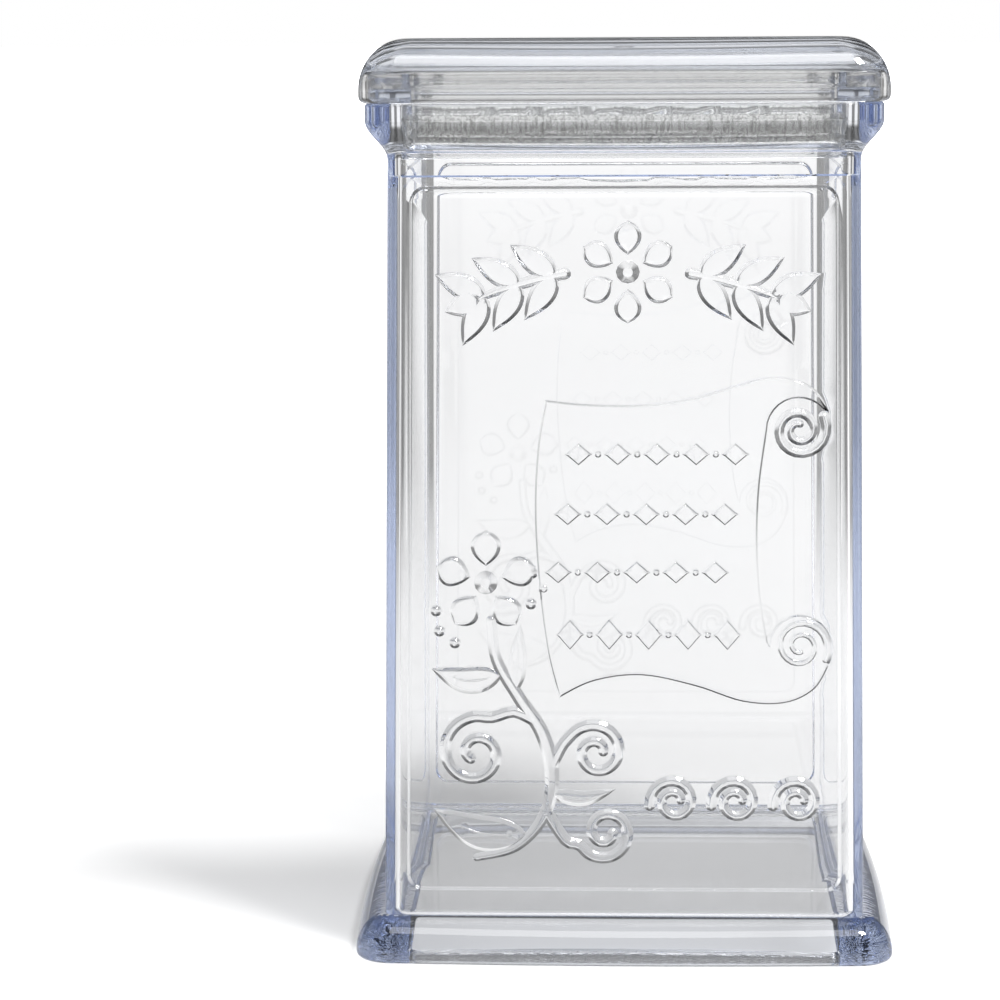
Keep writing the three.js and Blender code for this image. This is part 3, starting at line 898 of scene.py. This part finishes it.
def makeBoards():   # 1 towards each board and less between them, from a direction
    group, given, out = newGroup("boards", {"Direction": (0.0, 0.0, 0.0)}, ["Share"])
    parts, spread = group.nodes.new("ShaderNodeSeparateXYZ"), group.nodes.new("ShaderNodeMapRange")
    spread.interpolation_type = "SMOOTHSTEP"
    spread.inputs["From Min"].default_value, spread.inputs["From Max"].default_value = room["boardEdges"]
    spread.inputs["To Min"].default_value = room["betweenBoards"]
    group.links.new(given.outputs["Direction"], parts.inputs["Vector"])
    angle = maths(group, "ARCTAN2", parts.outputs["X"], parts.outputs["Y"])
    wave = maths(group, "COSINE", maths(group, "MULTIPLY", angle, room["boards"]))
    group.links.new(wave, spread.inputs["Value"])
    group.links.new(spread.outputs["Result"], out.inputs["Share"])
    return group


def makeWorld(boards):
    world = bpy.data.worlds.new("room")
    world.use_nodes = True
    bpy.context.scene.world = world
    nodes, links = world.node_tree.nodes, world.node_tree.links
    nodes.clear()
    out = nodes.new("ShaderNodeOutputWorld")
    white, sky = nodes.new("ShaderNodeBackground"), nodes.new("ShaderNodeBackground")
    white.inputs["Color"].default_value = (1, 1, 1, 1)
    coordinate, parts = nodes.new("ShaderNodeTexCoord"), nodes.new("ShaderNodeSeparateXYZ")
    ramp = nodes.new("ShaderNodeValToRGB")
    fillRamp(ramp.color_ramp, room["sky"])
    share = nodes.new("ShaderNodeGroup")
    share.node_tree = boards
    paths, choose = nodes.new("ShaderNodeLightPath"), nodes.new("ShaderNodeMixShader")
    links.new(coordinate.outputs["Generated"], parts.inputs["Vector"])
    links.new(coordinate.outputs["Generated"], share.inputs["Direction"])
    links.new(parts.outputs["Z"], ramp.inputs["Fac"])
    links.new(ramp.outputs["Color"], sky.inputs["Color"])
    links.new(share.outputs["Share"], sky.inputs["Strength"])
    links.new(paths.outputs["Is Camera Ray"], choose.inputs["Fac"])
    links.new(sky.outputs["Background"], choose.inputs[1])
    links.new(white.outputs["Background"], choose.inputs[2])
    links.new(choose.outputs["Shader"], out.inputs["Surface"])


def makeFloor(boards):
    size = room["floorSize"] / mm / 2
    floor = makeObject("floor", [(-size, -size, 0), (size, -size, 0), (size, size, 0), (-size, size, 0)],
                       [(0, 1, 2, 3)])
    floor.location.z = -room["floorDrop"]
    material = bpy.data.materials.new("floor")
    material.use_nodes = True
    tree = material.node_tree
    nodes, links = tree.nodes, tree.links
    nodes.clear()
    place, parts = nodes.new("ShaderNodeTexCoord"), nodes.new("ShaderNodeSeparateXYZ")
    links.new(place.outputs["Object"], parts.inputs["Vector"])
    distance = nodes.new("ShaderNodeVectorMath")
    distance.operation = "LENGTH"
    links.new(place.outputs["Object"], distance.inputs[0])
    far = maths(tree, "DIVIDE", distance.outputs["Value"], room["farDistance"])

    def ground(stops, grey, strength):
        ramp, glow = nodes.new("ShaderNodeValToRGB"), nodes.new("ShaderNodeEmission")
        diffuse, total = nodes.new("ShaderNodeBsdfDiffuse"), nodes.new("ShaderNodeAddShader")
        fillRamp(ramp.color_ramp, stops)
        links.new(far, ramp.inputs["Fac"])
        links.new(ramp.outputs["Color"], glow.inputs["Color"])
        links.new(strength, glow.inputs["Strength"])
        if isinstance(grey, float):
            diffuse.inputs["Color"].default_value = (grey, grey, grey, 1)
        else:
            links.new(grey, diffuse.inputs["Color"])
        links.new(diffuse.outputs["BSDF"], total.inputs[0])
        links.new(glow.outputs["Emission"], total.inputs[1])
        return total.outputs["Shader"]

    share, start = nodes.new("ShaderNodeGroup"), nodes.new("ShaderNodeMapRange")
    share.node_tree = boards
    start.inputs["From Min"].default_value, start.inputs["From Max"].default_value = room["boardsStart"]
    links.new(place.outputs["Object"], share.inputs["Direction"])
    links.new(far, start.inputs["Value"])
    fade = nodes.new("ShaderNodeMix")   # from 1 near the jar to the boards' share further out
    fade.data_type = "FLOAT"
    fade.inputs["A"].default_value = 1.0
    links.new(start.outputs["Result"], fade.inputs["Factor"])
    links.new(share.outputs["Share"], fade.inputs["B"])
    # painted light: the ground that the camera sees glows stronger behind the jar, standing in for a lamp
    # behind it
    behind = nodes.new("ShaderNodeMapRange")
    behind.interpolation_type = "SMOOTHSTEP"
    behind.inputs["From Min"].default_value, behind.inputs["From Max"].default_value = room["paintedLightBehind"][:2]
    behind.inputs["To Min"].default_value, behind.inputs["To Max"].default_value = 1.0, room["paintedLightBehind"][2]
    links.new(parts.outputs["Y"], behind.inputs["Value"])
    grey = maths(tree, "MULTIPLY", fade.outputs["Result"], room["floorGrey"])
    choose, paths = nodes.new("ShaderNodeMixShader"), nodes.new("ShaderNodeLightPath")
    links.new(paths.outputs["Is Camera Ray"], choose.inputs["Fac"])
    links.new(ground(room["glow"], grey, fade.outputs["Result"]), choose.inputs[1])
    links.new(ground(room["glowSeen"], room["floorGreySeen"], behind.outputs["Result"]), choose.inputs[2])
    links.new(choose.outputs["Shader"], nodes.new("ShaderNodeOutputMaterial").inputs["Surface"])
    floor.data.materials.append(material)


def makeLamp(name, place, size, power):   # its size is across and up
    data = bpy.data.lights.new(name, "AREA")
    data.shape, data.energy = "RECTANGLE", power
    data.size, data.size_y = size
    lamp = bpy.data.objects.new(name, data)
    lamp.location = place
    aim = Vector(room["lampsAimAt"]) - lamp.location
    lamp.rotation_euler = aim.to_track_quat("-Z", "Y").to_euler()
    bpy.context.scene.collection.objects.link(lamp)


def makeRoom():
    bpy.context.scene.view_settings.view_transform = "Standard"
    cycles = bpy.context.scene.cycles
    cycles.max_bounces = cycles.transmission_bounces = cycles.glossy_bounces = room["bounces"]
    cycles.caustics_reflective = cycles.caustics_refractive = False
    boards = makeBoards()
    makeWorld(boards)
    makeFloor(boards)
    makeLamp("key", room["keyPlace"], room["keySize"], room["keyPower"])
    makeLamp("top", room["topPlace"], room["topSize"], room["topPower"])


makeCamera()
makeRoom()
print("room ready")
mouldFlow, grain = makeMouldFlow(), makeGrain()
jarPlastic, coverPlastic, plugPlastic = (clearPlasticMaterial(mouldFlow, grain, part)
                                         for part in ("jar", "cover", "plug"))
frostedSeal = frostedSealMaterial(grain)
jarBody = makeJar()
print("jar ready:", len(jarBody.data.polygons), "faces")
combine(jarBody, makeRelief(jarPlastic))
print("relief ready:", len(jarBody.data.polygons), "faces")
finishPiece(jarBody, jarPlastic, "jar", "jar_body")
finishPiece(makeCover(), coverPlastic, "lid", "lid_cover")
finishPiece(makePlug(), plugPlastic, "lid", "lid_plug")
finishPiece(makeSeal(), frostedSeal, "lid", "seal_ring")
print("lid ready")
